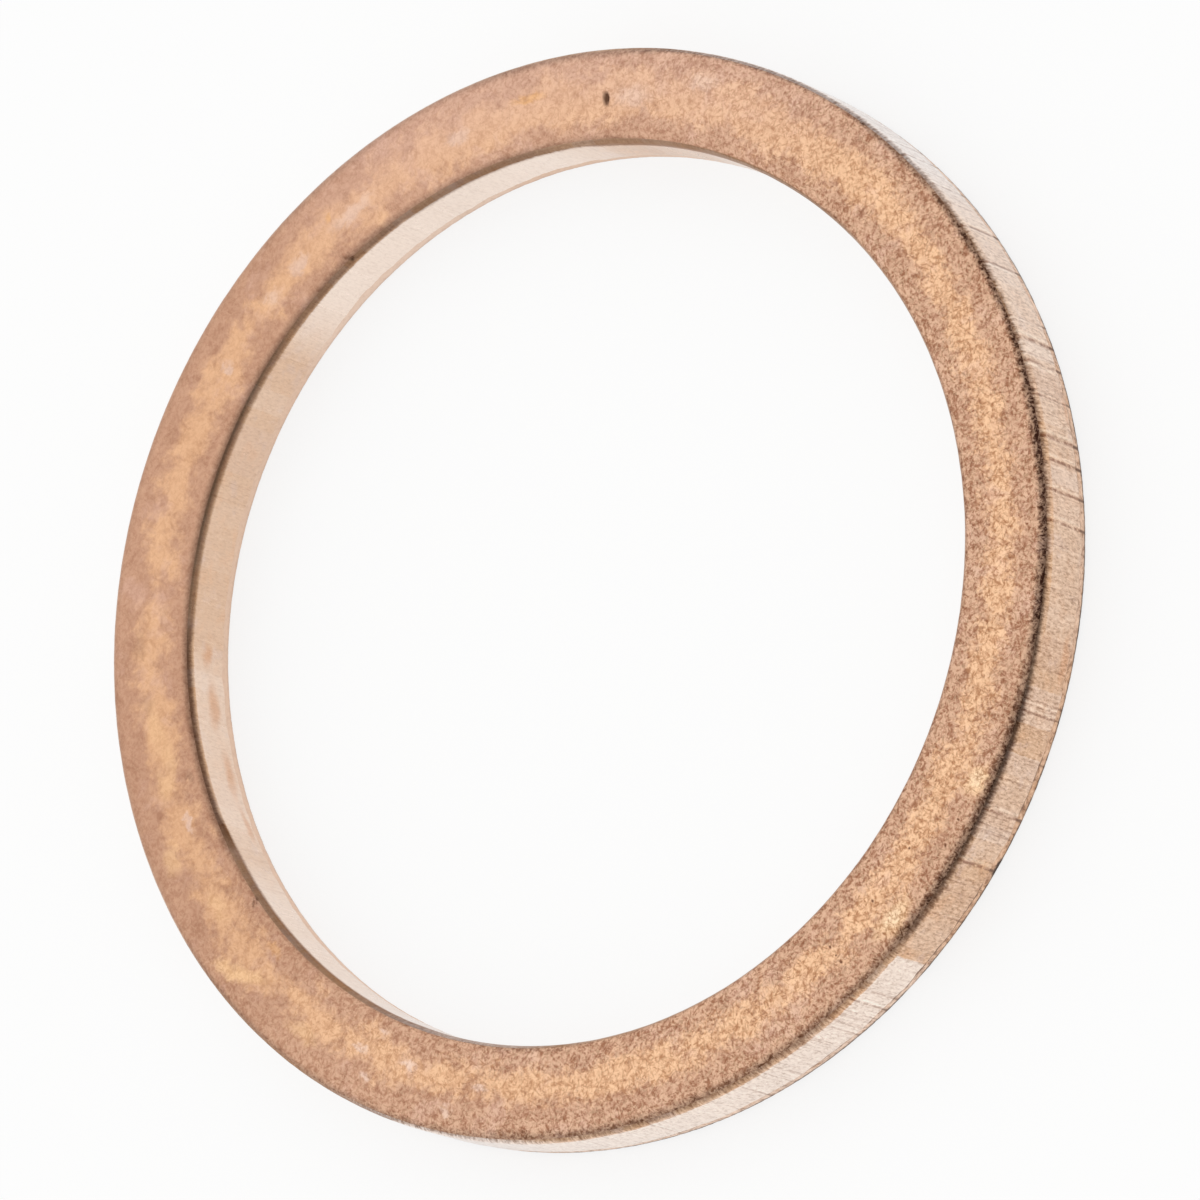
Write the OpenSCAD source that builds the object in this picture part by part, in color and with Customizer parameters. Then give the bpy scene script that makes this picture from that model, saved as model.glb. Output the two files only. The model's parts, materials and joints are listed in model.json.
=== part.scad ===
// Copper sealing ring for a drain or filler plug with an M18 thread.
// It is blanked in one stroke from copper sheet and then annealed, so it is one piece:
// the upper face is crowned, its edges are rolled in by the die, each wall has a smooth
// sheared band, and below that band the metal has broken away at a slight draft.
// The ring lies flat on z = 0 with its axis along +Z and the rolled face uppermost.

/* [Ring] */
// Bore diameter, across the sheared band of the bore
bore_d = 18.1; // [14:0.1:26]
// Width of the ring between its two walls
ring_w = 1.95; // [1.4:0.05:4]
// Thickness, from the lower face to the crest of the upper face
thickness = 1.5; // [1:0.1:3]

/* [Crowned face] */
// Width of the flat crest that seals first
crest_w = 0.7; // [0.3:0.05:1.2]
// Slope of the shoulders where they reach the rolled edges, in degrees
shoulder_slope = 10.5; // [4:0.5:20]

/* [Punched edges] */
// Radius that the die rolls onto both edges of the upper face
die_roll_r = 0.2; // [0.1:0.01:0.3]
// Height of the broken zone above the lower face
break_h = 0.24; // [0.15:0.01:0.6]
// Draft of the broken zone, in degrees from the axis
break_draft = 3; // [1:0.5:10]
// Size of the flat that tumbling leaves on both lower edges
lower_edge = 0.03; // [0.02:0.01:0.1]

/* [Hidden] */
$fn = 180;

copper = "#c8905f";

// Each side of the section is drawn as distances from the middle of the ring's width.
mid_r = (bore_d + ring_w) / 2;
half_w = ring_w / 2;
break_in = break_h * tan(break_draft);
crest_half = crest_w / 2;
roll_x = half_w - die_roll_r;
shoulder_run = roll_x - crest_half;

// The rolled arc stands this much proud of true tangency, so that it crosses the shoulder cleanly.
roll_proud = 0.0001;
shoulder_r = die_roll_r + shoulder_run / sin(shoulder_slope) - roll_proud;
shoulder_z = thickness - shoulder_r;
roll_z = shoulder_z + shoulder_run / tan(shoulder_slope);
above = thickness + 1;

// Outline of one wall, from the lower face up past the crest.
module wall_half() {
    polygon([
        [0, 0],
        [half_w - break_in - lower_edge, 0],
        [half_w - break_in, lower_edge],
        [half_w, break_h],
        [half_w, above],
        [0, above]
    ]);
}

// Everything under the flat crest and the shoulder beside it, and all that lies below the roll.
module crown_half() {
    square([crest_half, thickness]);
    translate([crest_half, shoulder_z]) circle(r = shoulder_r);
    square([ring_w, roll_z]);
}

// What the die rolls away where the shoulder meets the wall.
module rolled_away() {
    reach = 2 * die_roll_r;
    translate([roll_x, roll_z]) difference() {
        polygon([
            [0, 0],
            [reach, 0],
            [reach, reach],
            [reach * sin(shoulder_slope), reach * cos(shoulder_slope)]
        ]);
        circle(r = die_roll_r);
    }
}

module half_section() {
    difference() {
        intersection() {
            wall_half();
            crown_half();
        }
        rolled_away();
    }
}

module seal_ring() {
    color(copper) rotate_extrude() translate([mid_r, 0]) {
        half_section();
        mirror([1, 0]) half_section();
    }
}

seal_ring();
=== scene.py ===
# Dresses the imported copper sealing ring. The mesh carries what punching and handling leave in the form,
# such as rolled edges, drag grooves, a torn band and nicks. Three finishes of copper carry what they leave
# on the surface.
import json
import math

import bpy
from mathutils import Matrix, Vector


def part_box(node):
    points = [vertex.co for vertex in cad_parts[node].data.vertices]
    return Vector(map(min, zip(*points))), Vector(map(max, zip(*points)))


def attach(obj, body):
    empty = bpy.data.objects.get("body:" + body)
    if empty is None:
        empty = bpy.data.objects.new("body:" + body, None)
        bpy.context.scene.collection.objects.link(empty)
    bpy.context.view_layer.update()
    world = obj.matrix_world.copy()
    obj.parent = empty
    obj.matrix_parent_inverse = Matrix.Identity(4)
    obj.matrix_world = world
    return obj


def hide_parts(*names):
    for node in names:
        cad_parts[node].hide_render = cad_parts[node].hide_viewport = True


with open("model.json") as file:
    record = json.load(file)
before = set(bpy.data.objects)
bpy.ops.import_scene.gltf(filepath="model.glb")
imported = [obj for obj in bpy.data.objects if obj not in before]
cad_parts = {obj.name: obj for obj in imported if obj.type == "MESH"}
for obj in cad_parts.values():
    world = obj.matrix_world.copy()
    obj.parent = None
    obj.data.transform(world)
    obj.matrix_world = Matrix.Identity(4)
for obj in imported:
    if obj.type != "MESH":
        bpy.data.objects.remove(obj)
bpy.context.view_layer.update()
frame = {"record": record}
mm = 0.001
noiseSpan = (0.3, 0.7)  # nearly all the values of a noise lie between these two
smoothly = {"interpolation_type": "SMOOTHSTEP"}


def linear(hexColour):
    channels = [int(hexColour[i:i + 2], 16) / 255 for i in (1, 3, 5)]
    return tuple(c / 12.92 if c <= 0.04045 else ((c + 0.055) / 1.055) ** 2.4 for c in channels) + (1,)


# Adds a node. Its settings are a dictionary, or the name of its operation alone. Its inputs are a list in the
# order of its open sockets, or a dictionary by identifier; a node or a socket given as a value is linked, and
# anything else is set.
def addNode(tree, kind, settings=None, inputs=()):
    node = tree.nodes.new(kind)
    if isinstance(settings, str):
        settings = {"operation": settings}
    for name, value in (settings or {}).items():
        setattr(node, name, value)
    if isinstance(inputs, dict):
        sockets = {socket.identifier: socket for socket in node.inputs}
        pairs = [(sockets[key], value) for key, value in inputs.items()]
    else:
        pairs = list(zip([s for s in node.inputs if s.enabled], inputs))
    for socket, value in pairs:
        if isinstance(value, bpy.types.Node):
            value = next(s for s in value.outputs if s.enabled)
        if isinstance(value, bpy.types.NodeSocket):
            tree.links.new(value, socket)
        else:
            socket.default_value = value
    return node


low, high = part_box("seal_ring")
boreMount = next(mount for mount in frame["record"]["mounts"] if mount["name"] == "bore")
ring = {  # sizes in millimetres, angles in degrees from +X
    "boreRadius": boreMount["dims"]["r_mm"],
    "rimRadius": high.x / mm,
    "thickness": (high.z - low.z) / mm,
    "crestWidth": 0.7,
    "shoulderSlope": 10.5,
    "rollRadius": 0.2,
    "rollSplit": 50,  # up the roll from the wall, where the sheared finish gives way to the face's
    "breakHeight": 0.24,
    "breakDraft": 3,
    "lowerEdge": 0.03,
    "seam": 0.0005,  # points closer than this are one
    "creaseAngle": 32,  # edges that turn more sharply than this are shaded as creases
    "segmentsAround": 1600,
    "seed": 11,
    "breakWander": 0.08,  # how far the break line rises and falls
    "blend": 0.02,  # over which the wear of one surface gives way to that of the next
    "tornDepth": 0.01,
    "dragDepth": 0.006,
    "faceWave": 0.004,
    "rollWander": 0.012,
    "scoreDepth": 0.012,
    "widestScore": 0.05,  # half the width from which a score is at its strongest
    # Strong drag scores on the rim: the angle of each, its half width, and the side of its lip, where the
    # wall's finish paints a highlight beside the score's painted shade
    "scores": [
        (-147.0, 0.03, 1), (-136.0, 0.03, 1), (-133.0, 0.02, -1), (-124.4, 0.03, 1), (-121.9, 0.025, 1),
        (-120.5, 0.035, 1), (-118.9, 0.03, 1), (-113.6, 0.02, -1), (-108.5, 0.025, 1), (-104.7, 0.02, 1),
        (-102.4, 0.045, 1), (-98.9, 0.025, 1), (-98.2, 0.02, 1), (-96.7, 0.045, 1), (-90.8, 0.025, 1),
        (-86.1, 0.025, 1), (-84.9, 0.03, -1), (-69.1, 0.02, -1), (-66.7, 0.045, 1), (-63.5, 0.045, 1),
        (-60.3, 0.05, 1), (-57.9, 0.055, 1), (-53.4, 0.035, 1), (-49.6, 0.045, -1), (-46.9, 0.055, 1),
        (-44.4, 0.03, -1), (-37.8, 0.045, -1), (-32.9, 0.05, 1), (-29.6, 0.03, 1), (-26.8, 0.04, 1),
        (-24.4, 0.03, -1), (-22.0, 0.04, -1), (-19.5, 0.035, 1), (-17.2, 0.03, 1),
    ],
    # Nicks and pits: the angle, radius and height of each, its half sizes along the radius, round the ring
    # and along the axis, the turn of its long side where it has one, and its depth
    "marks": [
        {"at": (17.6, 9.93, 1.5), "half": (0.19, 0.1, 0.12), "turn": 8, "depth": 0.035},  # on the crest
        {"at": (57.7, 9.09, 1.42), "half": (0.05, 0.07, 0.09), "depth": 0.03},  # both on the edge of the bore
        {"at": (149.6, 9.1, 1.43), "half": (0.05, 0.1, 0.07), "depth": 0.03},
        {"at": (-15.7, 10.96, 1.4), "half": (0.07, 0.08, 0.09), "depth": 0.05},  # both on the edge of the rim
        {"at": (-29.2, 10.9, 1.45), "half": (0.05, 0.07, 0.07), "depth": 0.03},
    ],
}
middle = (ring["rimRadius"] + ring["boreRadius"]) / 2
halfWidth = (ring["rimRadius"] - ring["boreRadius"]) / 2
slope = math.radians(ring["shoulderSlope"])
shoulderRun = halfWidth - ring["rollRadius"] - ring["crestWidth"] / 2
shoulderRadius = ring["rollRadius"] + shoulderRun / math.sin(slope)
shoulderHeight = ring["thickness"] - shoulderRadius
rollHeight = shoulderHeight + shoulderRun / math.tan(slope)


# Where a point lies on the ring, in millimetres, from its position: used by the mesh and by the finishes.
def ringPlace(tree, point):
    xyz = addNode(tree, "ShaderNodeSeparateXYZ", inputs=[point])
    level = addNode(tree, "ShaderNodeCombineXYZ", inputs=[xyz.outputs["X"], xyz.outputs["Y"]])
    radius = addNode(tree, "ShaderNodeVectorMath", "LENGTH", [level])
    outward = addNode(tree, "ShaderNodeMath", "SUBTRACT", [radius, middle])
    facing = addNode(tree, "ShaderNodeVectorMath", "NORMALIZE", [level])
    angle = addNode(tree, "ShaderNodeMath", "ARCTAN2", [xyz.outputs["Y"], xyz.outputs["X"]])
    place = {
        "point": point,
        "height": xyz.outputs["Z"],
        "angle": angle.outputs[0],
        "outward": outward.outputs[0],  # from the middle of the ring's width, positive towards the rim
        "across": addNode(tree, "ShaderNodeMath", "ABSOLUTE", [outward]).outputs[0],
        "onRim": addNode(tree, "ShaderNodeMapRange", None, [outward, -0.05, 0.05, 0, 1]).outputs[0],
    }
    # Points that hardly change with height, so that a pattern on them runs along the axis or in short strokes
    onCylinder = (ring["rimRadius"],) * 3
    for name, stretch in (("drawn", 0.004), ("brushed", 0.33)):
        rise = addNode(tree, "ShaderNodeMath", "MULTIPLY", [xyz.outputs["Z"], stretch])
        lean = addNode(tree, "ShaderNodeCombineXYZ", inputs=[0, 0, rise])
        drawn = addNode(tree, "ShaderNodeVectorMath", "MULTIPLY_ADD", [facing, onCylinder, lean])
        place[name] = drawn.outputs[0]
    return place


# A noise for each row of name, place, size in millimetres, detail and distortion.
def noisesOf(tree, rows, seed):
    noises = {}
    for name, place, size, detail, distortion in rows:
        noises[name] = addNode(
            tree, "ShaderNodeTexNoise", {"noise_dimensions": "4D"},
            {"Vector": place, "W": seed + 3.7 * len(noises), "Scale": 1 / size, "Detail": detail,
             "Roughness": 0.6, "Distortion": distortion},
        )
    return noises


# A mask for each row of name, value, where it starts, where it is full, and how much it is then.
def masksOf(tree, rows):
    masks = {}
    for name, value, start, full, most in rows:
        masks[name] = addNode(tree, "ShaderNodeMapRange", smoothly, [value, start, full, 0, most])
    return masks


# The point moved about by a noise, so that an outline drawn with it is ragged.
def raggedPoint(tree, point, noise, reach):
    middling = (0.5, 0.5, 0.5)
    shift = addNode(tree, "ShaderNodeVectorMath", "SUBTRACT", [noise.outputs["Color"], middling])
    shift = addNode(tree, "ShaderNodeVectorMath", "SCALE", [shift, reach])
    return addNode(tree, "ShaderNodeVectorMath", "ADD", [shift, point])


# 1 inside an ellipsoid that lies on the ring. It fades to 0 at the outline, from the share of the way to it
# that soft gives.
def spotMask(tree, point, spot, soft):
    angle, radius, height = spot["at"]
    turn = math.radians(angle)
    centre = (radius * math.cos(turn), radius * math.sin(turn), height)
    offset = addNode(tree, "ShaderNodeVectorMath", "SUBTRACT", [point, centre])
    turned = addNode(
        tree, "ShaderNodeVectorRotate", {"rotation_type": "Z_AXIS"},
        {"Vector": offset, "Angle": -turn - math.radians(spot.get("turn", 0))},
    )
    share = addNode(tree, "ShaderNodeVectorMath", "DIVIDE", [turned, spot["half"]])
    share = addNode(tree, "ShaderNodeVectorMath", "LENGTH", [share])
    return addNode(tree, "ShaderNodeMapRange", smoothly, [share, 1, soft, 0, 1])


# 1 along the middle of each strong drag score on the rim, and 1 along the lip beside it; less where the score
# is narrower than the widest ones. The finishes paint the middle as shade in the groove and the lip as a
# highlight.
def scoreMasks(tree, place):
    masks = {"score": 0.0, "lipHighlight": 0.0}
    for angle, halfWide, lipSide in ring["scores"]:
        widths = ring["rimRadius"] / halfWide
        away = addNode(
            tree, "ShaderNodeMath", "MULTIPLY_ADD",
            [place["angle"], widths, -widths * math.radians(angle)],
        )
        for name, middleAt, reach in (("score", 0, 1), ("lipHighlight", 1.9 * lipSide, 0.9)):
            beside = addNode(tree, "ShaderNodeMath", "SUBTRACT", [away, middleAt])
            beside = addNode(tree, "ShaderNodeMath", "ABSOLUTE", [beside])
            most = min(1, halfWide / ring["widestScore"])
            line = addNode(tree, "ShaderNodeMapRange", None, [beside, reach, 0.3, 0, most])
            masks[name] = addNode(tree, "ShaderNodeMath", "MAXIMUM", [line, masks[name]])
    return {
        name: addNode(tree, "ShaderNodeMath", "MULTIPLY", [mask, place["onRim"]])
        for name, mask in masks.items()
    }


# The greatest amount among stretches of the ring, each a row of its middle, half length and softness in
# degrees and its amount; it fades over the softness at both ends.
def alongRing(tree, place, stretches, least):
    greatest = least
    for middleAt, halfLong, soft, amount in stretches:
        turn = math.radians(middleAt)
        away = addNode(tree, "ShaderNodeMath", "SUBTRACT", [place["angle"], turn])
        away = addNode(tree, "ShaderNodeMath", "COSINE", [away])
        ends = [math.cos(math.radians(halfLong + side * soft / 2)) for side in (1, -1)]
        mask = addNode(tree, "ShaderNodeMapRange", smoothly, [away, *ends, 0, amount])
        greatest = addNode(tree, "ShaderNodeMath", "MAXIMUM", [mask, greatest])
    return greatest


# The same with a list for each side of the ring, and one for both where there is one.
def alongEdges(tree, place, stretches, least):
    both = stretches.get("both", [])
    sides = [alongRing(tree, place, stretches[side] + both, least) for side in ("bore", "rim")]
    return addNode(tree, "ShaderNodeMix", {"data_type": "FLOAT"}, [place["onRim"], *sides])


# The highest and the lowest of several noises, each drawn out its own way: short strokes that cross.
def crossedStrokes(tree, point, size, turns, seed):
    highest, lowest = 0.0, 1.0
    for number, turn in enumerate(turns):
        turned = addNode(
            tree, "ShaderNodeVectorRotate", {"rotation_type": "Z_AXIS"},
            {"Vector": point, "Angle": math.radians(turn)},
        )
        drawnOut = addNode(tree, "ShaderNodeVectorMath", "MULTIPLY", [turned, (1, 0.3, 1)])
        noise = noisesOf(tree, [("stroke", drawnOut, size, 1, 0.3)], seed + 9 * number)["stroke"]
        highest = addNode(tree, "ShaderNodeMath", "MAXIMUM", [noise, highest])
        lowest = addNode(tree, "ShaderNodeMath", "MINIMUM", [noise, lowest])
    return highest, lowest


# Lays coats over a colour, each a row of its mask, its colour and how it is blended.
def layered(tree, colour, layers):
    for mask, hexColour, blend in layers:
        settings = {"data_type": "RGBA", "blend_type": blend, "clamp_result": True}
        colour = addNode(tree, "ShaderNodeMix", settings, [mask, colour, linear(hexColour)])
    return colour


# The shaded point in the piece's own frame, so that every pattern keeps its real size and its place.
def millimetres(tree):
    inMetres = addNode(tree, "ShaderNodeTexCoord").outputs["Object"]
    return addNode(tree, "ShaderNodeVectorMath", "SCALE", [inMetres, 1 / mm])


# The dark band along the rolled edges: partly oxide that the die pressed into them, and partly painted
# shade, heaviest where the edges face the camera. Most values hold for stretches of the ring, each a row as
# in alongRing.
oxideAndShade = {
    "colour": "#554A4A",
    # Where it starts and where it is full: on the face from the middle of the width, on the wall in height
    "faceSpan": (0.64, 0.865),
    "wallSpan": (1.315, 1.465),
    "boreLater": 0.075,  # how much further out it starts on the bore's side of the face
    "boreShare": 0.85,  # of its darkness, on the bore's side of the face
    "rimShare": 1.15,  # the same on the rim's side
    "wallFray": 0.035,  # how far its limit on a wall rises and falls
    "least": 0.11,  # how dark it is between the stretches
    # How dark the band is along each stretch. The darkest stretches are on the rim's near side and the bore's
    # far side, and there it is painted shade where the edge faces the camera.
    "dark": {
        "rim": [
            (-98, 18, 14, 0.76), (-64, 18, 14, 0.88), (-40, 12, 10, 0.79), (-136, 25, 16, 0.6),
            (-7, 24, 14, 0.6), (22, 14, 12, 0.4), (45, 20, 16, 0.25), (176, 28, 16, 0.47),
        ],
        "bore": [
            (84, 64, 26, 0.66), (126, 17, 12, 0.9), (152, 14, 14, 0.66), (172, 14, 14, 0.59),
            (58, 12, 14, 0.71), (0, 26, 12, 0.53), (-95, 75, 20, 0.38), (192, 16, 12, 0.48),
        ],
    },
    # How much further down each wall it reaches
    "low": {
        "rim": [
            (-98, 17, 12, 0.08), (-64, 16, 8, 0.02), (-36, 14, 10, 0.025), (-22, 8, 8, 0.07),
            (-136, 24, 12, 0.045), (-2, 16, 8, 0.08), (34, 24, 10, 0.3), (163, 16, 12, 0.3),
            (-166, 12, 10, 0.03),
        ],
        "bore": [
            (64, 50, 14, 0.12), (34, 16, 10, 0.17), (128, 18, 10, 0.07), (160, 22, 12, 0.21),
            (5, 16, 10, 0.3), (-75, 75, 16, 0.4), (193, 14, 10, 0.4),
        ],
    },
    # How much sharper the limits of the dark edge are on each surface, how much further out it starts on the
    # face, and where its limits are less frayed
    "sharper": {
        "face": [(-2, 14, 12, 0.95), (-34, 22, 12, 0.5), (-42, 8, 6, 0.7), (-64, 15, 8, 0.2)],
        "wall": [(-6, 20, 14, 0.4)],
    },
    "late": [
        (-2, 16, 12, 0.07), (-20, 12, 10, 0.03), (-136, 22, 14, 0.07), (-98, 17, 12, 0.03),
        (30, 20, 12, 0.05), (-42, 8, 6, 0.02), (90, 62, 20, 0.015), (124, 18, 12, 0.03),
        (168, 24, 14, 0.1), (196, 14, 10, 0.04),
    ],
    "neater": [(-8, 25, 15, 0.7), (100, 75, 20, 0.8), (-95, 65, 20, 0.5)],
}

# Annealed copper, tumbled matte: fine crossed strokes, golden along the crest and pinker brown on the
# shoulders, partly the copper's tone and partly a painted highlight along the top of the dome. It grows
# darker towards the rolled edges that the die burnished, with oxide and painted shade. Metal; roughness 0.5,
# less on the roll.
face = {
    "crest": "#E6B892",
    "shoulder": "#CC9F84",
    "brown": "#E1D6CE",  # multiplied in, as the dark strokes are
    "gold": "#463D2E",  # added, as the light strokes are
    "pink": "#E0B8A6",
    "lightStroke": "#6F6B5C",
    "darkStroke": "#D2C1B4",
    "patch": "#EFC497",
    "cream": "#F8E2C8",
    "bloom": "#EBCDBD",
    "amber": "#EDB677",
    "speck": "#7E5640",
    # the colour the nicks and pits are painted darker with
    "dentDark": "#664837",
    "crestAt": -0.15,  # middle of the golden crest, from the middle of the ring's width
    "crestEdge": 0.25,  # about half the golden crest's width
    "mottleSize": 0.9,
    "flowSize": 0.35,
    "grainSize": 0.1,
    "strokeSize": 0.053,
    "strokeTurns": (12, 57, 103, 148),
    "strokeHeight": 0.006,
    "roughness": 0.5,
    "rollRoughness": 0.28,
    "seed": 1.0,
    "strokeSeed": 60.0,
    # Where handling left the face paler and its crest wider, a little dimmer, and rubbed smoother
    "paler": [(24, 30, 30, 1.0)],
    "dimmer": [(140, 22, 20, 0.3), (90, 30, 15, 0.12)],
    "smoother": [(90, 100, 160, 0.8)],
    "spread": [(-65, 85, 30, 0.08), (0, 35, 25, 0.12)],  # how much further out the crest reaches
    # Smudges: colour, amount, angle, radius, half sizes along the radius and round the ring, and turn
    "smudges": [
        ("patch", 1.0, -111.4, 10.56, 0.38, 0.66, 0), ("cream", 0.5, -111.4, 10.54, 0.26, 0.44, 0),
        ("patch", 1.0, -94.4, 10.57, 0.34, 0.48, 0), ("cream", 0.45, -94.4, 10.56, 0.22, 0.32, 0),
        ("patch", 0.9, 155.0, 10.35, 0.26, 1.0, 28), ("patch", 0.6, 138.5, 10.35, 0.3, 0.45, 0),
        ("patch", 0.5, 123.0, 9.95, 0.3, 0.7, 0), ("patch", 0.5, 130.0, 9.95, 0.3, 0.5, 0),
        ("patch", 0.5, 147.0, 9.9, 0.25, 0.5, 0), ("amber", 0.4, 156.5, 9.45, 0.15, 0.3, 0),
        ("patch", 0.6, 166.5, 10.3, 0.3, 0.6, 0), ("bloom", 0.6, 135.5, 9.7, 0.12, 0.25, 0),
        ("bloom", 0.7, 174.5, 9.9, 0.12, 0.16, 0), ("bloom", 0.8, 181.5, 9.82, 0.14, 0.36, 10),
        ("bloom", 0.7, 176.5, 10.4, 0.14, 0.2, 0), ("bloom", 0.7, 176.5, 9.4, 0.1, 0.16, 0),
        ("bloom", 0.7, 192.0, 9.95, 0.12, 0.26, 0), ("bloom", 0.6, 188.2, 10.5, 0.12, 0.2, 0),
        ("bloom", 0.5, 14.0, 9.95, 0.3, 0.7, 0), ("bloom", 0.5, 5.0, 10.4, 0.24, 0.5, 0),
        ("amber", 0.55, 28.0, 10.2, 0.16, 0.55, 0), ("bloom", 0.5, 38.0, 9.95, 0.22, 0.4, 0),
        ("bloom", 0.55, 54.5, 9.85, 0.22, 0.8, 0), ("bloom", 0.6, 63.5, 9.85, 0.26, 0.4, 0),
        ("bloom", 0.5, 69.0, 9.88, 0.24, 0.3, 0), ("bloom", 0.6, 78.5, 9.85, 0.2, 0.22, 0),
        ("amber", 0.5, 57.3, 10.12, 0.12, 0.15, 0), ("speck", 0.6, 58.0, 9.22, 0.15, 0.1, 25),
        ("speck", 0.75, 150.0, 9.15, 0.07, 0.14, 0), ("speck", 0.35, 130.3, 9.42, 0.12, 0.2, 0),
        ("speck", 0.18, 112.6, 10.22, 0.24, 0.4, 0), ("speck", 0.18, 120.0, 10.08, 0.2, 0.3, 0),
        ("patch", 0.5, 127.0, 9.75, 0.22, 0.6, 0), ("speck", 0.14, 109.3, 9.66, 0.14, 0.2, 0),
    ],
    # Dark specks: the angle, radius and height of each, its half sizes, and the turn of its long side
    "specks": [
        {"at": (-118.8, 10.31, 1.5), "half": (0.05, 0.035, 1)},
        {"at": (-118.8, 10.13, 1.5), "half": (0.03, 0.03, 1)},
        {"at": (-118.8, 9.91, 1.5), "half": (0.05, 0.03, 1)},
        {"at": (-111.6, 9.95, 1.5), "half": (0.05, 0.04, 1)},
        {"at": (-101.9, 10.61, 1.5), "half": (0.03, 0.06, 1), "turn": 30},
        {"at": (-104.4, 9.95, 1.5), "half": (0.04, 0.04, 1)},
        {"at": (-98.9, 10.59, 1.5), "half": (0.05, 0.03, 1)},
        {"at": (-111.8, 10.84, 1.46), "half": (0.15, 0.025, 1), "turn": -36},
    ],
}


# The value moved away from a limit, so that a ramp up to that limit is steeper and ends where it did.
def sharpened(tree, place, value, limit, surface):
    steeper = alongRing(tree, place, oxideAndShade["sharper"][surface], 0.0)
    steeper = addNode(tree, "ShaderNodeMath", "ADD", [steeper, 1])
    away = addNode(tree, "ShaderNodeMath", "SUBTRACT", [value, limit])
    return addNode(tree, "ShaderNodeMath", "MULTIPLY_ADD", [away, steeper, limit])


def finishFace(tree):
    place = ringPlace(tree, millimetres(tree))
    noises = noisesOf(tree, [
        ("mottle", place["point"], face["mottleSize"], 4, 0.6),
        ("flow", place["point"], face["flowSize"], 4, 0.8),
        ("tint", place["point"], face["mottleSize"] * 0.7, 3, 0.4),
        ("grain", place["point"], face["grainSize"], 2, 1.0),
    ], face["seed"])
    highest, lowest = crossedStrokes(
        tree, place["point"], face["strokeSize"], face["strokeTurns"], face["strokeSeed"],
    )
    paler = alongRing(tree, place, face["paler"], 0.0)
    smoother = alongRing(tree, place, face["smoother"], 0.0)
    crisp = addNode(tree, "ShaderNodeMath", "SUBTRACT", [1, smoother])
    bolder = addNode(tree, "ShaderNodeMapRange", None, [place["across"], 0.3, 0.6, 1, 1.3])
    strength = addNode(tree, "ShaderNodeMath", "MULTIPLY", [crisp, bolder])

    # The crest's outline sways with the mottle, more broadly where the face is rubbed smoother
    spread = alongRing(tree, place, face["spread"], 0.0)
    away = addNode(tree, "ShaderNodeMath", "SUBTRACT", [place["outward"], face["crestAt"]])
    away = addNode(tree, "ShaderNodeMath", "SUBTRACT", [away, spread])
    away = addNode(tree, "ShaderNodeMath", "ABSOLUTE", [away])
    away = addNode(tree, "ShaderNodeMath", "MULTIPLY_ADD", [spread, -0.75, away])
    broader = addNode(tree, "ShaderNodeMath", "MULTIPLY_ADD", [smoother, 0.9, 1])
    for name, reach, share in (("mottle", 0.22, broader), ("flow", 0.1, broader), ("grain", 0.14, crisp)):
        sway = addNode(tree, "ShaderNodeMapRange", None, [noises[name], *noiseSpan, -reach, reach])
        away = addNode(tree, "ShaderNodeMath", "MULTIPLY_ADD", [sway, share, away])
    for wider, share in ((paler, -0.08), (smoother, -0.05)):
        away = addNode(tree, "ShaderNodeMath", "MULTIPLY_ADD", [wider, share, away])
    softer = addNode(tree, "ShaderNodeMath", "MULTIPLY_ADD", [smoother, -0.35, 1])
    away = addNode(tree, "ShaderNodeMath", "SUBTRACT", [away, face["crestEdge"]])
    away = addNode(tree, "ShaderNodeMath", "MULTIPLY_ADD", [away, softer, face["crestEdge"]])

    # The dark edge is frayed, and it crumbles into specks, where it isn't neat or the face rubbed smooth
    neater = alongRing(tree, place, oxideAndShade["neater"], 0.0)
    neater = addNode(tree, "ShaderNodeMath", "MAXIMUM", [neater, smoother])
    rougher = addNode(tree, "ShaderNodeMath", "SUBTRACT", [1, neater])
    frayed = place["across"]
    for noise, start, end, reach in ((noises["grain"], *noiseSpan, 0.05), (highest, 0.7, 0.5, 0.03)):
        fray = addNode(tree, "ShaderNodeMapRange", None, [noise, start, end, -reach, reach])
        frayed = addNode(tree, "ShaderNodeMath", "MULTIPLY_ADD", [fray, rougher, frayed])
    inner = addNode(tree, "ShaderNodeMapRange", None, [place["onRim"], 0, 1, -oxideAndShade["boreLater"], 0])
    frayed = addNode(tree, "ShaderNodeMath", "ADD", [frayed, inner])
    late = alongRing(tree, place, oxideAndShade["late"], 0.0)
    frayed = addNode(tree, "ShaderNodeMath", "SUBTRACT", [frayed, late])
    edge = sharpened(tree, place, frayed, oxideAndShade["faceSpan"][1], "face")
    masks = masksOf(tree, [
        ("shoulder", away, 0.06, 0.44, 1),
        ("brown", noises["flow"], 0.5, 0.68, 0.48),
        ("gold", noises["flow"], 0.48, 0.3, 0.62),
        ("pink", noises["tint"], 0.52, 0.7, 0.4),
        ("lightStroke", highest, 0.525, 0.66, strength),
        ("darkStroke", lowest, 0.45, 0.31, strength),
        ("darkGrain", noises["grain"], 0.52, 0.68, 0.5),
        ("edge", edge, *oxideAndShade["faceSpan"], 1),
    ])
    share = addNode(
        tree, "ShaderNodeMapRange", None, [place["onRim"], 0, 1, oxideAndShade["boreShare"], oxideAndShade["rimShare"]],
    )
    crumbly = addNode(tree, "ShaderNodeMapRange", None, [noises["grain"], *noiseSpan, -0.22, 0.25])
    crumbly = addNode(tree, "ShaderNodeMath", "MULTIPLY_ADD", [crumbly, rougher, 1])
    bare = addNode(tree, "ShaderNodeMath", "MULTIPLY_ADD", [masks["lightStroke"], -0.22, 1])
    dark = alongEdges(tree, place, oxideAndShade["dark"], oxideAndShade["least"])
    for factor in (share, crumbly, bare, masks["edge"]):
        dark = addNode(tree, "ShaderNodeMath", "MULTIPLY", [dark, factor])
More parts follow.
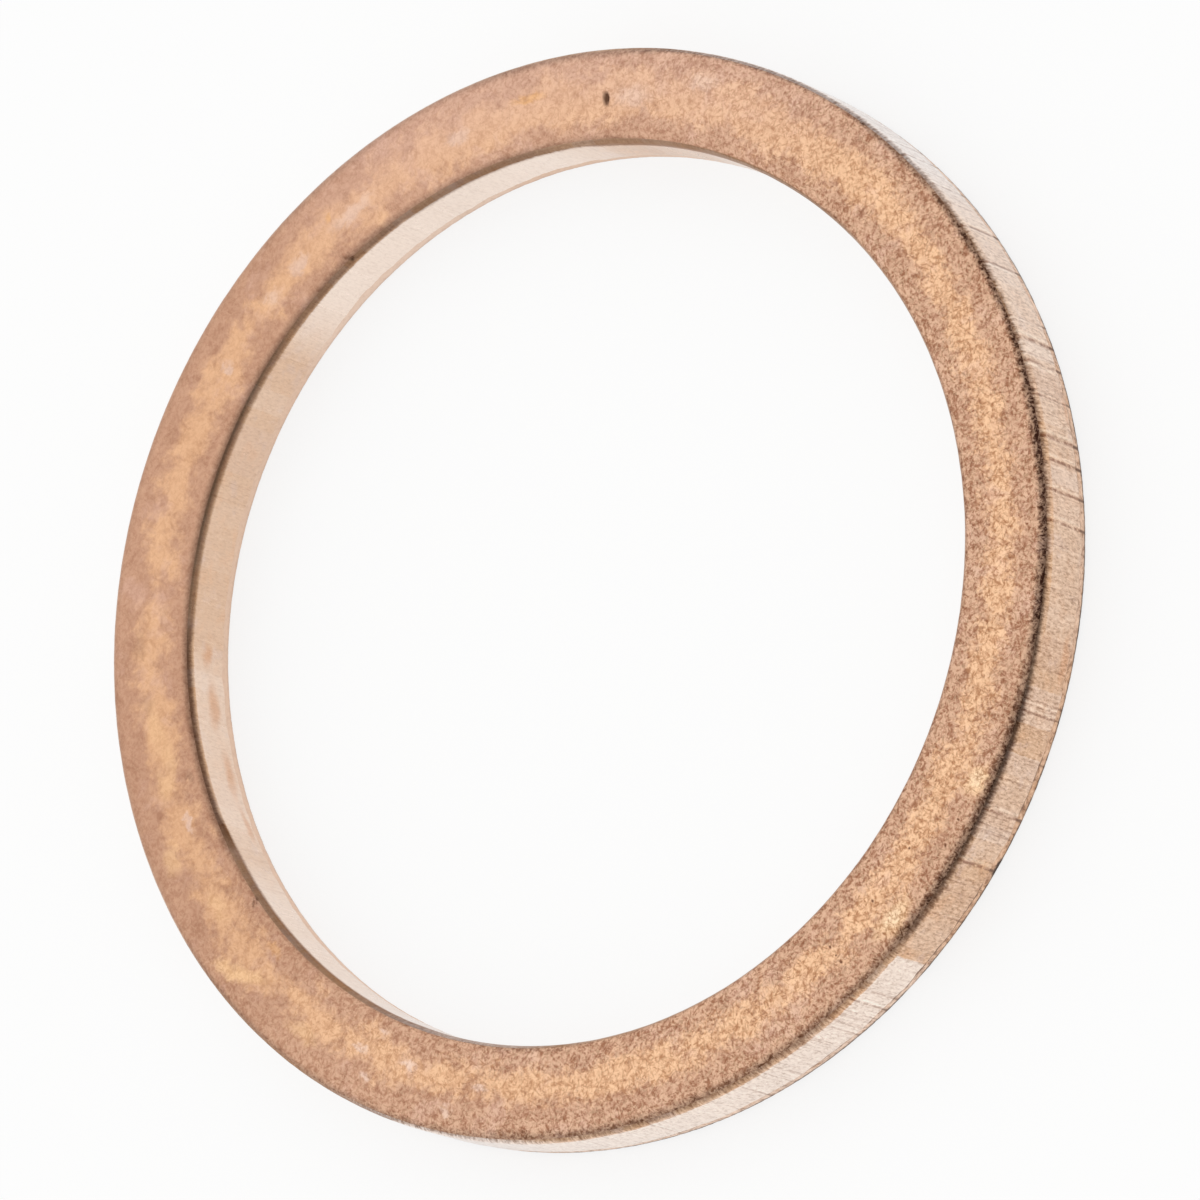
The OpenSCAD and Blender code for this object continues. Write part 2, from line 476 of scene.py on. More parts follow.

    # The colour, from the broad clouds to the finest strokes, and the dark edge of oxide and painted shade
    # over them
    darkGrain = addNode(tree, "ShaderNodeMath", "MULTIPLY", [masks["darkGrain"], strength])
    pinker = addNode(tree, "ShaderNodeMapRange", None, [place["outward"], -0.7, 0.1, 0.1, 0.4])
    paler = addNode(tree, "ShaderNodeMath", "MULTIPLY", [paler, pinker])
    dimmer = alongRing(tree, place, face["dimmer"], 0.0)
    # The golden crest against the pinker brown shoulders is partly the copper's tone and partly a painted
    # highlight along the top of the dome.
    layers = [
        (masks["shoulder"], face["shoulder"], "MIX"), (paler, face["pink"], "MIX"),
        (masks["pink"], face["pink"], "MIX"), (masks["brown"], face["brown"], "MULTIPLY"),
        (dimmer, face["brown"], "MULTIPLY"), (masks["gold"], face["gold"], "ADD"),
    ]
    ragged = raggedPoint(tree, place["point"], noises["flow"], 0.6)
    for name, amount, angle, radius, across, along, turn in face["smudges"]:
        smudge = {"at": (angle, radius, ring["thickness"]), "half": (across, along, 1), "turn": turn}
        mask = spotMask(tree, ragged, smudge, 0.2)
        mask = addNode(tree, "ShaderNodeMath", "MULTIPLY", [mask, amount])
        layers.append((mask, face[name], "MIX"))
    layers += [
        (darkGrain, face["darkStroke"], "MULTIPLY"), (masks["darkStroke"], face["darkStroke"], "MULTIPLY"),
        (masks["lightStroke"], face["lightStroke"], "ADD"),
    ]
    ragged = raggedPoint(tree, place["point"], noises["grain"], 0.05)
    layers += [(spotMask(tree, ragged, speck, 0.3), face["speck"], "MIX") for speck in face["specks"]]
    dent = addNode(tree, "ShaderNodeAttribute", {"attribute_name": "dent"})
    layers += [(dark, oxideAndShade["colour"], "MULTIPLY"), (dent.outputs["Fac"], face["dentDark"], "MIX")]
    colour = layered(tree, linear(face["crest"]), layers)
    rough = addNode(
        tree, "ShaderNodeMapRange", None, [frayed, 0.8, 0.88, face["roughness"], face["rollRoughness"]],
    )
    bump = addNode(
        tree, "ShaderNodeBump", None,
        {"Strength": 1.0, "Distance": face["strokeHeight"] * mm, "Height": highest},
    )
    return {"Base Color": colour, "Roughness": rough, "Normal": bump}


# The same copper sheared by the punch: burnished, paler and glossier than the face, with strokes and scores
# along the axis, flats of another tone between them, and pale stretches: partly facets of another tone, and
# partly a painted sheen where the wall is seen at a glancing angle. The scores carry painted shade and a
# painted highlight on one lip.
# Metal; roughness 0.3.
wall = {
    "tan": "#DBB28F",
    "pale": "#F8E6D8",
    "ash": "#F2EAE7",
    "pink": "#D6B7A8",
    "orange": "#E0AC7F",
    "darkStroke": "#D8CEC6",
    "lightStroke": "#6B645C",
    "score": "#B59A8C",
    "lipHighlight": "#89908A",
    "stain": "#D29565",
    "oxideAndShade": "#594541",
    "oxideTint": "#C4885C",  # what the band of oxide and painted shade mirrors when it is seen along the surface
    "strokeSize": 0.05,
    "strokeDepth": 0.003,
    "flatSize": 0.6,
    "lineWaver": 0.0014,  # radians by which the scores weave
    "roughness": 0.3,
    "sheen": 0.45,
    "sheenRoughness": 0.4,
    "sheenGone": 0.6,  # the share of the band of oxide and painted shade that leaves no sheen
    "seed": 20.0,
    "lineSeed": 33.0,
    # Warm stains low on the walls, each as a speck is given
    "stainAmount": 0.55,
    "stains": [
        {"at": (114.0, 9.05, 0.77), "half": (1, 0.36, 0.24)},
        {"at": (120.5, 9.05, 0.66), "half": (1, 0.75, 0.29)},
        {"at": (129.5, 9.05, 0.48), "half": (1, 0.68, 0.25)},
        {"at": (137.0, 9.05, 0.4), "half": (1, 0.6, 0.16)},
        {"at": (-80, 11.0, 0.38), "half": (1, 0.8, 0.2)},
        {"at": (-54, 11.0, 0.28), "half": (1, 0.6, 0.14)},
    ],
    # Paler stretches, by the height at which they end and fade. Some are facets that the punch left paler,
    # and others, where the wall is seen at a glancing angle, are a painted sheen.
    "paleFade": 0.04,
    "paleAndGlancingBelow": {
        1.24: {
            "both": [(46, 24, 16, 0.95), (128, 14, 10, 0.5), (162, 18, 12, 0.7), (90, 44, 10, 0.2)],
            "rim": [
                (-139.4, 25.3, 0.2, 0.95), (-62, 16, 6, 0.22), (-61.8, 1.0, 0.3, 0.4), (-99.9, 1.8, 0.3, 0.2),
            ],
            "bore": [(-130, 20, 40, 0.5), (-50, 15, 30, 0.3)],
        },
        1.36: {
            "both": [(-170, 10, 10, 0.6), (-28, 21, 12, 0.45), (-12, 14, 10, 0.6)],
            "rim": [(-48.1, 0.9, 0.3, 0.55), (-31.2, 1.1, 0.3, 0.6)],
            "bore": [],
        },
    },
    # Stretches that are greyer and paler: a painted sheen at the ends of the walls, where they are seen at a
    # glancing angle
    "paintedGlancingSheen": {"both": [(-174, 10, 12, 0.5)], "rim": [(-8, 18, 16, 0.8)], "bore": []},
}


def finishWall(tree):
    place = ringPlace(tree, millimetres(tree))
    noises = noisesOf(tree, [
        ("cloud", place["point"], 0.45, 4, 0.3),
        ("stroke", place["brushed"], wall["strokeSize"], 2, 0.6),
        ("cluster", place["drawn"], 0.9, 3, 0),
        ("grain", place["point"], 0.07, 2, 0.8),
        ("weave", place["point"], 0.2, 2, 0.5),
    ], wall["seed"])
    wavy = raggedPoint(tree, place["drawn"], noises["weave"], 0.05)
    noises.update(noisesOf(tree, [("line", wavy, wall["strokeSize"], 2, 0)], wall["lineSeed"]))
    reach = wall["lineWaver"]
    waver = addNode(tree, "ShaderNodeMapRange", None, [noises["weave"], *noiseSpan, -reach, reach])
    place["angle"] = addNode(tree, "ShaderNodeMath", "ADD", [place["angle"], waver]).outputs[0]
    flats = addNode(
        tree, "ShaderNodeTexVoronoi", {"voronoi_dimensions": "1D"},
        {"W": place["angle"], "Scale": ring["rimRadius"] / wall["flatSize"], "Randomness": 1.0},
    )
    tone = addNode(tree, "ShaderNodeSeparateColor", inputs=[flats.outputs["Color"]])

    # Frayed heights, at which the pale stretches and painted glancing sheen end and the band of oxide and
    # painted shade starts
    neater = alongRing(tree, place, oxideAndShade["neater"], 0.0)
    rougher = addNode(tree, "ShaderNodeMath", "SUBTRACT", [1, neater])
    frayed = {}
    reach = oxideAndShade["wallFray"]
    for name, coarse, fine in (("pale", "weave", "stroke"), ("oxideAndShade", "stroke", "grain")):
        height = place["height"]
        for noise in (coarse, fine):
            fray = addNode(tree, "ShaderNodeMapRange", None, [noises[noise], *noiseSpan, -reach, reach])
            height = addNode(tree, "ShaderNodeMath", "MULTIPLY_ADD", [fray, rougher, height])
        frayed[name] = height
    lower = alongEdges(tree, place, oxideAndShade["low"], 0.0)
    raised = addNode(tree, "ShaderNodeMath", "ADD", [frayed["oxideAndShade"], lower])
    raised = sharpened(tree, place, raised, oxideAndShade["wallSpan"][1], "wall")
    paleness = 0.0
    for top, stretches in wall["paleAndGlancingBelow"].items():
        amount = alongEdges(tree, place, stretches, 0.0)
        end = top + wall["paleFade"]
        pale = addNode(tree, "ShaderNodeMapRange", smoothly, [frayed["pale"], top, end, amount, 0])
        paleness = addNode(tree, "ShaderNodeMath", "MAXIMUM", [pale, paleness])
    strength = addNode(tree, "ShaderNodeMapRange", None, [place["onRim"], 0, 1, 0.3, 1])
    calm = addNode(tree, "ShaderNodeMapRange", None, [paleness, 0, 1, 1, 0.72])
    strength = addNode(tree, "ShaderNodeMath", "MULTIPLY", [strength, calm])
    masks = masksOf(tree, [
        ("paleFlat", tone.outputs["Red"], 0.4, 1, 0.22),
        ("pinkFlat", tone.outputs["Green"], 0.5, 1, 0.2),
        ("orange", noises["cloud"], 0.5, 0.66, 0.5),
        ("pink", noises["cloud"], 0.46, 0.32, 0.45),
        ("darkStroke", noises["stroke"], 0.5, 0.66, strength),
        ("lightStroke", noises["stroke"], 0.5, 0.34, strength),
        ("line", noises["line"], 0.54, 0.7, strength),
        ("gleam", noises["line"], 0.46, 0.3, strength),
        ("often", noises["cluster"], 0.42, 0.6, 1),
        ("darkGrain", noises["grain"], 0.54, 0.7, strength),
        ("lightGrain", noises["grain"], 0.46, 0.3, strength),
        ("broken", noises["weave"], 0.66, 0.46, 1),
        ("oxideAndShade", raised, *oxideAndShade["wallSpan"], 1),
    ])
    scores = scoreMasks(tree, place)
    dark = alongEdges(tree, place, oxideAndShade["dark"], oxideAndShade["least"])
    crumbly = addNode(tree, "ShaderNodeMapRange", None, [noises["grain"], *noiseSpan, -0.22, 0.22])
    crumbly = addNode(tree, "ShaderNodeMath", "MULTIPLY_ADD", [crumbly, rougher, 1])
    dark = addNode(tree, "ShaderNodeMath", "MULTIPLY", [dark, crumbly])
    mixes = {}
    for name, factors in {
        "line": (masks["line"], masks["often"], 0.8), "score": (scores["score"], masks["broken"]),
        "lipHighlight": (scores["lipHighlight"], masks["broken"], 0.55), "oxideAndShade": (masks["oxideAndShade"], dark),
        "gleam": (masks["gleam"], 0.7), "darkGrain": (masks["darkGrain"], 0.6),
        "lightGrain": (masks["lightGrain"], 0.5),
    }.items():
        mixes[name] = factors[0]
        for factor in factors[1:]:
            mixes[name] = addNode(tree, "ShaderNodeMath", "MULTIPLY", [mixes[name], factor])
    paintedGlancingSheen = alongEdges(tree, place, wall["paintedGlancingSheen"], 0.0)
    # The pale stretches are partly facets and partly a painted glancing sheen, and the grey ones are a
    # painted glancing sheen.
    layers = [
        (masks["orange"], wall["orange"], "MIX"), (masks["pink"], wall["pink"], "MIX"),
        (masks["pinkFlat"], wall["pink"], "MIX"), (masks["paleFlat"], wall["pale"], "MIX"),
        (paleness, wall["pale"], "MIX"), (paintedGlancingSheen, wall["ash"], "MIX"),
    ]
    ragged = raggedPoint(tree, place["point"], noises["cloud"], 0.4)
    for stain in wall["stains"]:
        mask = spotMask(tree, ragged, stain, 0.1)
        mask = addNode(tree, "ShaderNodeMath", "MULTIPLY", [mask, wall["stainAmount"]])
        layers.append((mask, wall["stain"], "MIX"))
    dent = addNode(tree, "ShaderNodeAttribute", {"attribute_name": "dent"})
    # The scores are painted darker, as shade in their grooves, and their lips lighter, as a painted
    # highlight.
    layers += [
        (masks["darkStroke"], wall["darkStroke"], "MULTIPLY"),
        (mixes["darkGrain"], wall["darkStroke"], "MULTIPLY"),
        (mixes["line"], wall["score"], "MULTIPLY"), (mixes["score"], wall["score"], "MULTIPLY"),
        (masks["lightStroke"], wall["lightStroke"], "ADD"), (mixes["lightGrain"], wall["lightStroke"], "ADD"),
        (mixes["gleam"], wall["lightStroke"], "ADD"), (mixes["lipHighlight"], wall["lipHighlight"], "ADD"),
        (mixes["oxideAndShade"], wall["oxideAndShade"], "MULTIPLY"), (dent.outputs["Fac"], face["dentDark"], "MIX"),
    ]
    colour = layered(tree, linear(wall["tan"]), layers)
    bump = addNode(
        tree, "ShaderNodeBump", {"invert": True},
        {"Strength": 0.7, "Distance": wall["strokeDepth"] * mm, "Height": noises["stroke"]},
    )
    rough = addNode(
        tree, "ShaderNodeMapRange", None,
        [noises["line"], *noiseSpan, wall["roughness"] - 0.04, wall["roughness"] + 0.08],
    )
    sheen = addNode(
        tree, "ShaderNodeMapRange", None, [mixes["oxideAndShade"], 0, wall["sheenGone"], wall["sheen"], 0],
    )
    tint = layered(tree, (1, 1, 1, 1), [(mixes["oxideAndShade"], wall["oxideTint"], "MIX")])
    return {
        "Base Color": colour, "Roughness": rough, "Normal": bump, "Specular Tint": tint,
        "Sheen Weight": sheen, "Sheen Roughness": wall["sheenRoughness"],
    }


# The same copper where it broke away below the sheared band: duller, with warm and dark flecks, a fine dark
# line along the break line (painted shade of a crack that the mesh does not cut), and a dark foot (painted
# shade along the bottom of the wall). Metal; roughness 0.5.
torn = {
    "copper": "#DFB899",
    "pale": "#F0D9C8",
    "darkFleck": "#C8B9AF",
    "lightFleck": "#6E665C",
    "warm": "#D0A078",
    "crackShade": "#80614F",
    # painted shade along the bottom of the wall; the nicks and pits take the same dark colour
    "foot": "#57453C",
    "fleckSize": 0.1,
    "fleckDepth": 0.008,
    "roughness": 0.5,
    "seed": 40.0,
    "paler": [
        (-137, 23, 8, 0.75), (-62, 16, 8, 0.35), (-28, 18, 8, 0.65), (-6, 14, 10, 0.9), (90, 90, 20, 0.5),
        (55, 20, 14, 0.8),
    ],
    # Stretches where the crack along the break line is open and its painted shade is darkest, and how open it
    # is elsewhere
    "crackElsewhere": 0.06,
    "cracks": [(-111.5, 7.5, 2, 1), (-93, 3, 1, 0.7), (-58, 5, 2, 0.4), (-128, 3, 1, 0.5)],
    # Darker marks at the foot of the rim, each as a speck is given: a dark burr that hangs below the foot,
    # and a stretch where the painted shade along the foot is wider
    "footDarkMarks": [
        {"at": (-101.9, 10.98, 0.04), "half": (0.1, 0.28, 0.12)},
        {"at": (-50, 10.98, 0.01), "half": (0.1, 1.0, 0.05)},
    ],
}


def finishTorn(tree):
    place = ringPlace(tree, millimetres(tree))
    noises = noisesOf(tree, [
        ("fleck", place["point"], torn["fleckSize"], 3, 0.6),
        ("smear", place["point"], 0.22, 3, 0.6),
        ("patch", place["drawn"], 0.5, 3, 0),
    ], torn["seed"])
    strength = addNode(tree, "ShaderNodeMapRange", None, [place["onRim"], 0, 1, 0.15, 1])
    below = addNode(tree, "ShaderNodeAttribute", {"attribute_name": "belowBreak"})
    wander = addNode(tree, "ShaderNodeMapRange", None, [noises["smear"], 0.35, 0.65, -0.02, 0.03])
    below = addNode(tree, "ShaderNodeMath", "ADD", [below.outputs["Fac"], wander])
    openness = alongRing(tree, place, torn["cracks"], torn["crackElsewhere"])
    score = scoreMasks(tree, place)["score"]
    masks = masksOf(tree, [
        ("warm", noises["smear"], 0.52, 0.64, 0.5),
        ("light", noises["fleck"], 0.5, 0.34, 1),
        ("dark", noises["fleck"], 0.5, 0.66, 1),
        ("smear", noises["smear"], 0.48, 0.34, 0.55),
        ("crackShade", below, 0.055, 0.015, openness),
        ("patch", noises["patch"], 0.25, 0.55, 1),
        ("foot", place["height"], 0.1, 0.05, 0.88),
    ])
    # The dark foot is painted shade along the bottom of the wall, in patches.
    foot = addNode(tree, "ShaderNodeMath", "MULTIPLY", [masks["foot"], masks["patch"]])
    ragged = raggedPoint(tree, place["point"], noises["fleck"], 0.1)
    for spot in torn["footDarkMarks"]:
        footDarkMark = spotMask(tree, ragged, spot, 0.5)
        foot = addNode(tree, "ShaderNodeMath", "MAXIMUM", [foot, footDarkMark])
    dent = addNode(tree, "ShaderNodeAttribute", {"attribute_name": "dent"})
    layers = [(alongRing(tree, place, torn["paler"], 0.0), torn["pale"], "MIX")]
    for mask, name, blend in [
        (masks["warm"], "warm", "MIX"), (masks["dark"], "darkFleck", "MULTIPLY"),
        (masks["smear"], "darkFleck", "MULTIPLY"), (masks["light"], "lightFleck", "ADD"),
        (score, "crackShade", "MIX"), (masks["crackShade"], "crackShade", "MIX"), (foot, "foot", "MIX"),
    ]:
        mask = addNode(tree, "ShaderNodeMath", "MULTIPLY", [mask, strength])
        layers.append((mask, torn[name], blend))
    # Nicks and pits are painted darker, in the colour of the painted shade at the foot.
    layers.append((dent.outputs["Fac"], torn["foot"], "MIX"))
    colour = layered(tree, linear(torn["copper"]), layers)
    bump = addNode(
        tree, "ShaderNodeBump", {"invert": True},
        {"Strength": 1.0, "Distance": torn["fleckDepth"] * mm, "Height": noises["fleck"]},
    )
    return {"Base Color": colour, "Roughness": torn["roughness"], "Normal": bump}


finishes = {}
for zone, name, finish in [
    ("face", "annealed copper, tumbled matte", finishFace),
    ("wall", "sheared copper, burnished", finishWall),
    ("torn", "torn copper, rough", finishTorn),
]:
    material = bpy.data.materials.new(name)
    material.use_nodes = True
    shader = material.node_tree.nodes["Principled BSDF"]
    shader.inputs["Metallic"].default_value = 1
    for socket, value in finish(material.node_tree).items():
        if isinstance(value, bpy.types.Node):
            material.node_tree.links.new(next(s for s in value.outputs if s.enabled), shader.inputs[socket])
        else:
            shader.inputs[socket].default_value = value
    finishes[zone] = material
zones = list(finishes)
print("finishes:", ", ".join(material.name for material in finishes.values()))


# Builds the ring from sizes in millimetres and radians: draws its section, sweeps it round, wears it, scales
# it to metres and gives each zone its finish.
def ringTree(sizes):
    tree = bpy.data.node_groups.new("punchedRing", "GeometryNodeTree")
    for name, value in sizes.items():
        kind = "NodeSocketInt" if isinstance(value, int) else "NodeSocketFloat"
        tree.interface.new_socket(name=name, in_out="INPUT", socket_type=kind)
    tree.interface.new_socket(name="Ring", in_out="OUTPUT", socket_type="NodeSocketGeometry")
    size = addNode(tree, "NodeGroupInput").outputs

    # One side of the section, counter-clockwise from the middle of the base up to the middle of the crest
    inset = addNode(tree, "ShaderNodeMath", "ADD", [size["Break Inset"], size["Lower Edge"]])
    wallAt = size["Half Width"]
    foot = addNode(tree, "ShaderNodeMath", "SUBTRACT", [wallAt, inset])
    heel = addNode(tree, "ShaderNodeMath", "SUBTRACT", [wallAt, size["Break Inset"]])
    rollAt = addNode(tree, "ShaderNodeMath", "SUBTRACT", [wallAt, size["Roll Radius"]])
    upright = math.pi / 2
    rollTop = addNode(tree, "ShaderNodeMath", "SUBTRACT", [upright, size["Shoulder Slope"]])
    upperRoll = addNode(tree, "ShaderNodeMath", "SUBTRACT", [rollTop, size["Roll Split"]])
    corners = {
        name: addNode(tree, "ShaderNodeCombineXYZ", inputs=xz)
        for name, xz in {
            "base": (0, 0), "foot": (foot, 0), "heel": (heel, size["Lower Edge"]),
            "break": (wallAt, size["Break Height"]), "wallTop": (wallAt, size["Roll Height"]),
            "crestEdge": (size["Crest Half Width"], size["Thickness"]), "crest": (0, size["Thickness"]),
            "rollCentre": (rollAt, size["Roll Height"]),
            "shoulderCentre": (size["Crest Half Width"], size["Shoulder Height"]),
        }.items()
    }
    strips = []
    for zone, start, end, points in [
        ("face", "base", "foot", 3), ("torn", "foot", "heel", 2), ("torn", "heel", "break", 6),
        ("wall", "break", "wallTop", 5), ("face", "crestEdge", "crest", 6),
    ]:
        line = addNode(tree, "GeometryNodeCurvePrimitiveLine", None, [corners[start], corners[end]])
        strip = addNode(tree, "GeometryNodeResampleCurve", None, {"Curve": line, "Count": points})
        strips.append((zone, strip))
    for zone, pivot, radius, start, sweep, points in [
        ("wall", "rollCentre", size["Roll Radius"], 0.0, size["Roll Split"], 5),
        ("face", "rollCentre", size["Roll Radius"], size["Roll Split"], upperRoll, 5),
        ("face", "shoulderCentre", size["Shoulder Radius"], rollTop, size["Shoulder Slope"], 7),
    ]:
        arc = addNode(
            tree, "GeometryNodeCurveArc", None,
            {"Resolution": points, "Radius": radius, "Start Angle": start, "Sweep Angle": sweep},
        )
        strip = addNode(tree, "GeometryNodeTransform", None, {"Geometry": arc, "Translation": corners[pivot]})
        strips.append((zone, strip))
    oneSide = addNode(tree, "GeometryNodeJoinGeometry")
    for zone, strip in strips:
        named = addNode(
            tree, "GeometryNodeStoreNamedAttribute", {"data_type": "INT", "domain": "POINT"},
            {"Geometry": strip, "Name": "zone", "Value": zones.index(zone)},
        )
        tree.links.new(named.outputs[0], oneSide.inputs[0])
    mirrored = addNode(tree, "GeometryNodeTransform", None, {"Geometry": oneSide, "Scale": (-1, 1, 1)})
    otherSide = addNode(tree, "GeometryNodeReverseCurve", None, {"Curve": mirrored})
    section = addNode(tree, "GeometryNodeJoinGeometry", None, [oneSide])
    tree.links.new(otherSide.outputs[0], section.inputs[0])

    # The section swept round the axis, and its strips joined into one closed skin
    circle = addNode(
        tree, "GeometryNodeCurvePrimitiveCircle", None,
        {"Resolution": size["Segments Around"], "Radius": size["Middle Radius"]},
    )
    path = addNode(tree, "GeometryNodeSetCurveTilt", None, {"Curve": circle, "Tilt": math.pi})
    swept = addNode(tree, "GeometryNodeCurveToMesh", None, {"Curve": path, "Profile Curve": section})
    zoneOfPoint = addNode(tree, "GeometryNodeInputNamedAttribute", {"data_type": "INT"}, ["zone"])
    zoned = addNode(
        tree, "GeometryNodeStoreNamedAttribute", {"data_type": "INT", "domain": "FACE"},
        {"Geometry": swept, "Name": "zone", "Value": zoneOfPoint},
    )
    skin = addNode(tree, "GeometryNodeMergeByDistance", None, {"Geometry": zoned, "Distance": ring["seam"]})

    place = ringPlace(tree, addNode(tree, "GeometryNodeInputPosition").outputs[0])
    noises = noisesOf(tree, [
        ("wander", place["drawn"], 0.9, 5, 0),
        ("torn", place["point"], 0.11, 3, 0),
        ("drag", place["drawn"], 0.4, 5, 0),
        ("face", place["point"], 0.8, 3, 0),
        ("roll", place["drawn"], 0.33, 4, 0),
        ("ragged", place["point"], 0.07, 2, 0),
    ], ring["seed"])
    nearTop = addNode(tree, "ShaderNodeMath", "SUBTRACT", [size["Break Height"], ring["blend"]])
    halfEdge = addNode(tree, "ShaderNodeMath", "MULTIPLY", [size["Lower Edge"], 0.5])
    slack = addNode(tree, "ShaderNodeMath", "SUBTRACT", [foot, ring["blend"]])
    masks = masksOf(tree, [
        ("wall", place["across"], slack, heel, 1),
        ("aboveEdge", place["height"], halfEdge, size["Lower Edge"], 1),
        ("belowBreak", place["height"], size["Break Height"], nearTop, 1),
        ("roll", place["across"], rollAt, size["Half Width"], 1),
        ("upper", place["height"], size["Roll Height"], size["Thickness"], 1),
    ])

    # The break line rises and falls round the ring
    height, breakAt = place["height"], size["Break Height"]
    up = addNode(tree, "ShaderNodeMapRange", None, [height, size["Lower Edge"], breakAt, 0, 1])
    down = addNode(tree, "ShaderNodeMapRange", None, [height, breakAt, size["Roll Height"], 1, 0])
    nearBreak = addNode(tree, "ShaderNodeMath", "MINIMUM", [up, down])
    wander = addNode(tree, "ShaderNodeMapRange", None, [noises["wander"], 0.25, 0.75, -1, 1])
    wander = addNode(tree, "ShaderNodeMath", "MULTIPLY", [wander, size["Break Wander"]])
    lift = addNode(tree, "ShaderNodeMath", "MULTIPLY", [wander, nearBreak])
    lifted = addNode(tree, "ShaderNodeCombineXYZ", inputs=[0, 0, lift])

    # How deep each surface is torn, dragged, scored or worn
    onTorn = addNode(tree, "ShaderNodeMath", "MULTIPLY", [masks["wall"], masks["aboveEdge"]])
    onTorn = addNode(tree, "ShaderNodeMath", "MULTIPLY", [onTorn, masks["belowBreak"]])
    onShear = addNode(tree, "ShaderNodeMath", "SUBTRACT", [1, masks["belowBreak"]])
    onShear = addNode(tree, "ShaderNodeMath", "MULTIPLY", [onShear, masks["wall"]])
    onRoll = addNode(tree, "ShaderNodeMath", "MULTIPLY", [masks["roll"], masks["upper"]])
    scored = scoreMasks(tree, place)["score"]
    depth = addNode(tree, "ShaderNodeMath", "MULTIPLY", [scored, size["Score Depth"]])
    depth = addNode(tree, "ShaderNodeMath", "MULTIPLY", [depth, onShear])
    for noise, mask, amount in [
        ("torn", onTorn, "Torn Depth"), ("drag", onShear, "Drag Depth"), ("face", 1.0, "Face Wave"),
        ("roll", onRoll, "Roll Wander"),
    ]:
        share = addNode(tree, "ShaderNodeMapRange", None, [noises[noise], 0.27, 0.73, 0, 1])
        share = addNode(tree, "ShaderNodeMath", "MULTIPLY", [share, mask])
        depth = addNode(tree, "ShaderNodeMath", "MULTIPLY_ADD", [share, size[amount], depth])
    ragged = raggedPoint(tree, place["point"], noises["ragged"], 0.07)
    dent = 0.0
    for mark in ring["marks"]:
        inside = spotMask(tree, ragged, mark, 0.5)
        depth = addNode(tree, "ShaderNodeMath", "MULTIPLY_ADD", [inside, mark["depth"], depth])
        dent = addNode(tree, "ShaderNodeMath", "MAXIMUM", [inside, dent])
    belowBreak = addNode(tree, "ShaderNodeMath", "SUBTRACT", [breakAt, height])
    for name, value in [("dent", dent), ("belowBreak", belowBreak)]:
        skin = addNode(
            tree, "GeometryNodeStoreNamedAttribute", {"data_type": "FLOAT", "domain": "POINT"},
            {"Geometry": skin, "Name": name, "Value": value},
        )
    inward = addNode(tree, "ShaderNodeMath", "MULTIPLY", [depth, -1])
    normal = addNode(tree, "GeometryNodeInputNormal")
    inward = addNode(tree, "ShaderNodeVectorMath", "SCALE", [normal, inward])
    offset = addNode(tree, "ShaderNodeVectorMath", "ADD", [inward, lifted])
    worn = addNode(tree, "GeometryNodeSetPosition", None, {"Geometry": skin, "Offset": offset})
    metres = addNode(tree, "GeometryNodeTransform", None, {"Geometry": worn, "Scale": (mm, mm, mm)})

    # Smooth shading, with a crease wherever two faces meet at a clear angle
    smooth = addNode(tree, "GeometryNodeSetShadeSmooth", {"domain": "FACE"}, {"Geometry": metres})
    edgeAngle = addNode(tree, "GeometryNodeInputMeshEdgeAngle")
    clear = addNode(
        tree, "FunctionNodeCompare", {"data_type": "FLOAT", "operation": "GREATER_THAN"},
        [edgeAngle, math.radians(ring["creaseAngle"])],
    )
    creased = addNode(
        tree, "GeometryNodeSetShadeSmooth", {"domain": "EDGE"},
        {"Geometry": smooth, "Selection": clear, "Shade Smooth": False},
    )
    solid = addNode(tree, "GeometryNodeRealizeInstances", None, {"Geometry": creased})
    solid = addNode(tree, "GeometryNodeSetMaterial", None, {"Geometry": solid, "Material": finishes["face"]})
    for zone in zones[1:]:
        zoneOfFace = addNode(tree, "GeometryNodeInputNamedAttribute", {"data_type": "INT"}, ["zone"])
        same = addNode(
            tree, "FunctionNodeCompare", {"data_type": "INT", "operation": "EQUAL"},
            [zoneOfFace, zones.index(zone)],
        )
        solid = addNode(
            tree, "GeometryNodeSetMaterial", None,
            {"Geometry": solid, "Selection": same, "Material": finishes[zone]},
        )
    addNode(tree, "NodeGroupOutput", None, [solid])
    return tree


sizes = {
    "Middle Radius": middle,
    "Half Width": halfWidth,
    "Thickness": ring["thickness"],
    "Crest Half Width": ring["crestWidth"] / 2,
    "Shoulder Slope": slope,
    "Shoulder Radius": shoulderRadius,
    "Shoulder Height": shoulderHeight,
    "Roll Radius": ring["rollRadius"],
    "Roll Height": rollHeight,
    "Roll Split": math.radians(ring["rollSplit"]),
    "Break Height": ring["breakHeight"],
    "Break Inset": ring["breakHeight"] * math.tan(math.radians(ring["breakDraft"])),
    "Lower Edge": ring["lowerEdge"],
    "Segments Around": ring["segmentsAround"],
    "Break Wander": ring["breakWander"],
    "Torn Depth": ring["tornDepth"],
    "Drag Depth": ring["dragDepth"],
    "Score Depth": ring["scoreDepth"],
    "Face Wave": ring["faceWave"],
    "Roll Wander": ring["rollWander"],
}
maker = bpy.data.objects.new("ringMaker", bpy.data.meshes.new("ringMaker"))
bpy.context.scene.collection.objects.link(maker)
modifier = maker.modifiers.new("punchedRing", "NODES")
modifier.node_group = ringTree(sizes)
for item in modifier.node_group.interface.items_tree:
    if item.in_out == "INPUT":
        modifier[item.identifier] = sizes[item.name]
evaluated = maker.evaluated_get(bpy.context.evaluated_depsgraph_get())
ringMesh = bpy.data.meshes.new_from_object(evaluated)
maker.modifiers.remove(modifier)
bpy.data.objects.remove(maker)
